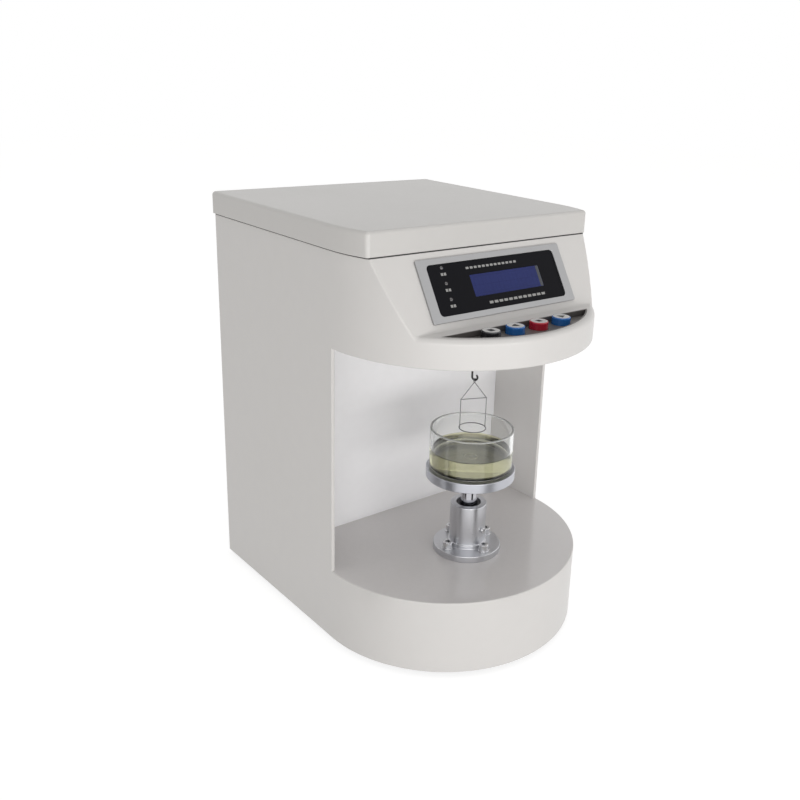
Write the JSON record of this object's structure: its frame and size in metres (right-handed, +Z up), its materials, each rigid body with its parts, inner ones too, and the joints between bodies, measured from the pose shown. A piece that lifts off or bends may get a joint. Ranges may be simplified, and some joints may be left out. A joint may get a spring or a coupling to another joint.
{
  "type": "surface tensiometer",
  "caption": "Bench surface tensiometer: wire ring hung from a balance head over a glass dish on a motor lift, sloping display panel and push buttons.",
  "frame": {"origin": "on the bench, under the middle of the whole", "axes": "+Z up, the round nose and the display towards -Y, the rear sockets towards +Y"},
  "size_m": [0.203, 0.267, 0.3018],
  "materials": {
    "cream_paint": "smooth stoved enamel, satin gloss",
    "panel_paint": "matt stoved enamel",
    "deck_paint": "smooth glossy grey enamel",
    "rear_paint": "fine textured powder coat",
    "zinc_sheet": "zinc plated sheet",
    "bezel_metal": "brushed and clear anodised",
    "foil": "black printed foil, satin",
    "lcd": "blue liquid crystal window",
    "lamp_lens": "small moulded lens, unlit",
    "board": "green circuit board",
    "field": "dark grey moulding",
    "black_cap": "moulded cap",
    "blue_cap": "moulded cap",
    "red_cap": "moulded cap",
    "switch_black": "black moulding",
    "turned_aluminium": "turned, satin anodised",
    "bright_steel": "polished",
    "bearing_steel": "ground",
    "bush_black": "bearing plastic",
    "motor_steel": "black motor paint",
    "cast_aluminium": "die cast",
    "magnet": "nickel plated magnet pot",
    "copper": "enamelled copper windings",
    "brass": "turned",
    "dark_wire": "blackened hook wire",
    "ring_wire": "platinum alloy wire",
    "glass": "clear laboratory glass",
    "liquid": "pale yellow liquid",
    "seal": "foam seal",
    "feet": "moulded rubber",
    "rocker_red": "moulded rocker",
    "plug_shell": "nickel plated"
  },
  "bodies": {
    "case": {"case_shell": "cream_paint", "recess_panel": "panel_paint", "base_deck": "deck_paint", "head_floor": "cream_paint", "bottom_plate": "zinc_sheet", "service_plate": "rear_paint", "top_lid": "cream_paint", "lid_seal": "seal", "lid_screws": "bright_steel", "display_bezel": "bezel_metal", "display_foil": "foil", "lcd_module": "lcd", "indicator_lights": "lamp_lens", "display_board": "board", "button_field": "field", "button_board": "board", "button_switches": "switch_black", "guide_sleeve": "turned_aluminium", "flange_screws": "bright_steel", "key_screw": "bright_steel", "guide_bush": "bush_black", "motor_housing": "motor_steel", "motor_cap": "cast_aluminium", "motor_stator": "copper", "rotor_bearings": "bearing_steel", "balance_frame": "zinc_sheet", "balance_magnet": "magnet", "flexure_strips": "bearing_steel", "stop_screws": "bearing_steel", "main_board": "board", "board_spacers": "brass", "power_supply": "zinc_sheet", "motor_driver": "board", "mains_inlet": "switch_black", "fuse_holder": "switch_black", "switch_frame": "switch_black", "data_socket": "plug_shell", "service_screws": "bright_steel", "rubber_feet": "feet", "foot_screws": "bright_steel"},
    "lift_table": {"lift_shaft": "bright_steel", "lift_screw": "bearing_steel", "sample_tray": "turned_aluminium", "tray_screw": "bright_steel", "glass_dish": "glass", "sample_liquid": "liquid"},
    "motor_rotor": {"rotor_nut": "brass"},
    "balance": {"balance_beam": "turned_aluminium", "balance_coil": "copper", "hook_rod": "dark_wire"},
    "ring": {"measuring_ring": "ring_wire"},
    "push_button_1": {"button_1": "black_cap"},
    "push_button_2": {"button_2": "blue_cap"},
    "push_button_3": {"button_3": "red_cap"},
    "push_button_4": {"button_4": "blue_cap"},
    "power_rocker": {"switch_rocker": "rocker_red"}
  },
  "joints": [
    {"name": "lift_travel", "type": "slide", "parent": "case", "child": "lift_table", "axis": [0, 0, 1], "range_m": [-0.016, 0.012]},
    {"name": "rotor_spin", "type": "hinge", "parent": "case", "child": "motor_rotor", "pos_m": [0, -0.0617, 0.0383], "axis": [0, 0, 1], "range_deg": [-545, 725]},
    {"name": "balance_travel", "type": "slide", "parent": "case", "child": "balance", "axis": [0, 0, 1], "range_m": [-0.0008, 0.0008], "stiffness_N_per_m": 2000, "springref_m": 0.00022},
    {"name": "ring_swing", "type": "hinge", "parent": "balance", "child": "ring", "pos_m": [0, -0.0617, 0.1894], "axis": [0.342, -0.9397, 0], "range_deg": [-8, 8]},
    {"name": "button_1_press", "type": "slide", "parent": "case", "child": "push_button_1", "axis": [0, 0, -1], "range_m": [0, 0.0012], "stiffness_N_per_m": 250},
    {"name": "button_2_press", "type": "slide", "parent": "case", "child": "push_button_2", "axis": [0, 0, -1], "range_m": [0, 0.0012], "stiffness_N_per_m": 250},
    {"name": "button_3_press", "type": "slide", "parent": "case", "child": "push_button_3", "axis": [0, 0, -1], "range_m": [0, 0.0012], "stiffness_N_per_m": 250},
    {"name": "button_4_press", "type": "slide", "parent": "case", "child": "push_button_4", "axis": [0, 0, -1], "range_m": [0, 0.0012], "stiffness_N_per_m": 250},
    {"name": "power_switch", "type": "hinge", "parent": "case", "child": "power_rocker", "pos_m": [0.005, 0.1265, 0.0455], "axis": [1, 0, 0], "range_deg": [0, 20]}
  ],
  "couplings": [
    {"joint": "rotor_spin", "follows": "lift_travel", "rad_per_m": -785.4}
  ]
}
